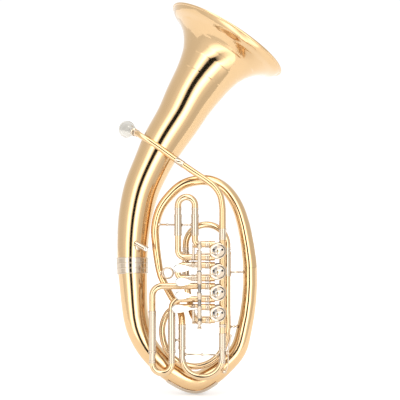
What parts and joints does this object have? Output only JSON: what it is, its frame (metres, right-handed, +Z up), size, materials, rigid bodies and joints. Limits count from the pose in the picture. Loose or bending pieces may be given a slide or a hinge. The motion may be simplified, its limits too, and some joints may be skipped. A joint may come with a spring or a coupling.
{
  "type": "oval rotary-valve euphonium",
  "caption": "Oval brass-wind instrument with a tall tapering bell, rotary valves worked by side levers, pull-out tuning slides, a curved leadpipe and a mouthpiece.",
  "frame": {"origin": "lowest point of the guard under the bottom bow, where the instrument rests in the player's lap", "axes": "+Z up along the long axis, +X across the oval toward the side the bell leans to, +Y toward the player, so the levers face -Y"},
  "size_m": [0.3729, 0.3038, 0.878],
  "materials": {
    "gold_brass": "polished and clear-lacquered gold brass",
    "nickel_silver": "polished nickel silver",
    "silver_plate": "silver plated, bright"
  },
  "bodies": {
    "instrument": {"bell": "gold_brass", "bottom_bow": "gold_brass", "upper_branch": "gold_brass", "bell_garland": "nickel_silver", "bottom_guard": "nickel_silver", "leadpipe": "gold_brass", "mouthpiece_receiver": "nickel_silver", "valve_casing_1": "nickel_silver", "valve_casing_2": "nickel_silver", "valve_casing_3": "nickel_silver", "valve_casing_4": "nickel_silver", "valve_cap_1": "nickel_silver", "valve_cap_2": "nickel_silver", "valve_cap_3": "nickel_silver", "valve_cap_4": "nickel_silver", "lever_axle": "nickel_silver", "axle_bracket_upper": "nickel_silver", "axle_bracket_lower": "nickel_silver", "slide_1_tube_right": "nickel_silver", "slide_1_tube_left": "nickel_silver", "slide_2_tube_upper": "nickel_silver", "slide_2_tube_lower": "nickel_silver", "slide_3_tube_left": "nickel_silver", "slide_3_tube_right": "nickel_silver", "slide_4_tube_right": "nickel_silver", "slide_4_tube_left": "nickel_silver", "tuning_tube_right": "nickel_silver", "tuning_tube_left": "nickel_silver", "finger_ring": "nickel_silver", "lyre_holder": "nickel_silver", "brace_slide_1": "nickel_silver", "brace_slide_3": "nickel_silver", "brace_ring_upper": "nickel_silver", "brace_ring_lower": "nickel_silver"},
    "rotor_1": {"valve_rotor_1": "nickel_silver", "stop_arm_1": "nickel_silver"},
    "link_1": {"link_rod_1": "nickel_silver"},
    "lever_1": {"lever_1": "silver_plate"},
    "slide_1": {"slide_1_bow": "gold_brass"},
    "rotor_2": {"valve_rotor_2": "nickel_silver", "stop_arm_2": "nickel_silver"},
    "link_2": {"link_rod_2": "nickel_silver"},
    "lever_2": {"lever_2": "silver_plate"},
    "slide_2": {"slide_2_bow": "gold_brass"},
    "rotor_3": {"valve_rotor_3": "nickel_silver", "stop_arm_3": "nickel_silver"},
    "link_3": {"link_rod_3": "nickel_silver"},
    "lever_3": {"lever_3": "silver_plate"},
    "slide_3": {"slide_3_bow": "gold_brass"},
    "rotor_4": {"valve_rotor_4": "nickel_silver", "stop_arm_4": "nickel_silver"},
    "link_4": {"link_rod_4": "nickel_silver"},
    "lever_4": {"lever_4": "silver_plate"},
    "slide_4": {"slide_4_bow": "gold_brass"},
    "tuning_slide": {"tuning_bow": "gold_brass", "brace_tuning": "nickel_silver", "water_key_saddle": "nickel_silver"},
    "water_key": {"water_key": "nickel_silver"},
    "mouthpiece": {"mouthpiece": "silver_plate"},
    "lyre_screw": {"lyre_screw": "silver_plate"}
  },
  "joints": [
    {"name": "lever_1_press", "type": "hinge", "parent": "instrument", "child": "lever_1", "pos_m": [0.0141, -0.089, 0.2843], "axis": [0, 0, -1], "range_deg": [0, 24], "stiffness_Nm_per_rad": 0.15, "springref_deg": -17.19},
    {"name": "rotor_1_turn", "type": "hinge", "parent": "instrument", "child": "rotor_1", "pos_m": [0.0546, -0.048, 0.3209], "axis": [0, -1, 0], "range_deg": [0, 90]},
    {"name": "link_1_turn", "type": "hinge", "parent": "rotor_1", "child": "link_1", "pos_m": [0.05036, -0.069, 0.31666], "axis": [0, -1, 0], "range_deg": [-90, 0]},
    {"name": "lever_2_press", "type": "hinge", "parent": "instrument", "child": "lever_2", "pos_m": [0.0141, -0.089, 0.2551], "axis": [0, 0, -1], "range_deg": [0, 24], "stiffness_Nm_per_rad": 0.15, "springref_deg": -17.19},
    {"name": "rotor_2_turn", "type": "hinge", "parent": "instrument", "child": "rotor_2", "pos_m": [0.0546, -0.048, 0.2749], "axis": [0, -1, 0], "range_deg": [0, 90]},
    {"name": "link_2_turn", "type": "hinge", "parent": "rotor_2", "child": "link_2", "pos_m": [0.05036, -0.069, 0.27066], "axis": [0, -1, 0], "range_deg": [-90, 0]},
    {"name": "lever_3_press", "type": "hinge", "parent": "instrument", "child": "lever_3", "pos_m": [0.0141, -0.089, 0.2259], "axis": [0, 0, -1], "range_deg": [0, 24], "stiffness_Nm_per_rad": 0.15, "springref_deg": -17.19},
    {"name": "rotor_3_turn", "type": "hinge", "parent": "instrument", "child": "rotor_3", "pos_m": [0.0546, -0.048, 0.2289], "axis": [0, -1, 0], "range_deg": [0, 90]},
    {"name": "link_3_turn", "type": "hinge", "parent": "rotor_3", "child": "link_3", "pos_m": [0.05036, -0.069, 0.22466], "axis": [0, -1, 0], "range_deg": [-90, 0]},
    {"name": "lever_4_press", "type": "hinge", "parent": "instrument", "child": "lever_4", "pos_m": [0.0141, -0.089, 0.1967], "axis": [0, 0, -1], "range_deg": [0, 24], "stiffness_Nm_per_rad": 0.15, "springref_deg": -17.19},
    {"name": "rotor_4_turn", "type": "hinge", "parent": "instrument", "child": "rotor_4", "pos_m": [0.0546, -0.048, 0.1829], "axis": [0, -1, 0], "range_deg": [0, 90]},
    {"name": "link_4_turn", "type": "hinge", "parent": "rotor_4", "child": "link_4", "pos_m": [0.05036, -0.069, 0.17866], "axis": [0, -1, 0], "range_deg": [-90, 0]},
    {"name": "slide_1_pull", "type": "slide", "parent": "instrument", "child": "slide_1", "axis": [0, 0, 1], "range_m": [0, 0.035]},
    {"name": "slide_2_pull", "type": "slide", "parent": "instrument", "child": "slide_2", "axis": [-1, 0, 0], "range_m": [0, 0.015]},
    {"name": "slide_3_pull", "type": "slide", "parent": "instrument", "child": "slide_3", "axis": [0, 0, -1], "range_m": [0, 0.06]},
    {"name": "slide_4_pull", "type": "slide", "parent": "instrument", "child": "slide_4", "axis": [0, 0, 1], "range_m": [0, 0.035]},
    {"name": "tuning_slide_pull", "type": "slide", "parent": "instrument", "child": "tuning_slide", "axis": [0, 0, -1], "range_m": [0, 0.03]},
    {"name": "water_key_open", "type": "hinge", "parent": "tuning_slide", "child": "water_key", "pos_m": [0.0766, -0.048, 0.096], "axis": [0, -1, 0], "range_deg": [0, 10], "stiffness_Nm_per_rad": 0.05, "springref_deg": -17.19},
    {"name": "mouthpiece_pull", "type": "slide", "parent": "instrument", "child": "mouthpiece", "axis": [-0.3202, 0.9346, 0.1551], "range_m": [0, 0.035]},
    {"name": "lyre_screw_turn_out", "type": "slide", "parent": "instrument", "child": "lyre_screw", "axis": [0, -1, 0], "range_m": [0, 0.004]}
  ],
  "couplings": [
    {"joint": "rotor_1_turn", "follows": "lever_1_press", "ratio": 3.75},
    {"joint": "link_1_turn", "follows": "lever_1_press", "ratio": -3.75},
    {"joint": "rotor_2_turn", "follows": "lever_2_press", "ratio": 3.75},
    {"joint": "link_2_turn", "follows": "lever_2_press", "ratio": -3.75},
    {"joint": "rotor_3_turn", "follows": "lever_3_press", "ratio": 3.75},
    {"joint": "link_3_turn", "follows": "lever_3_press", "ratio": -3.75},
    {"joint": "rotor_4_turn", "follows": "lever_4_press", "ratio": 3.75},
    {"joint": "link_4_turn", "follows": "lever_4_press", "ratio": -3.75}
  ]
}
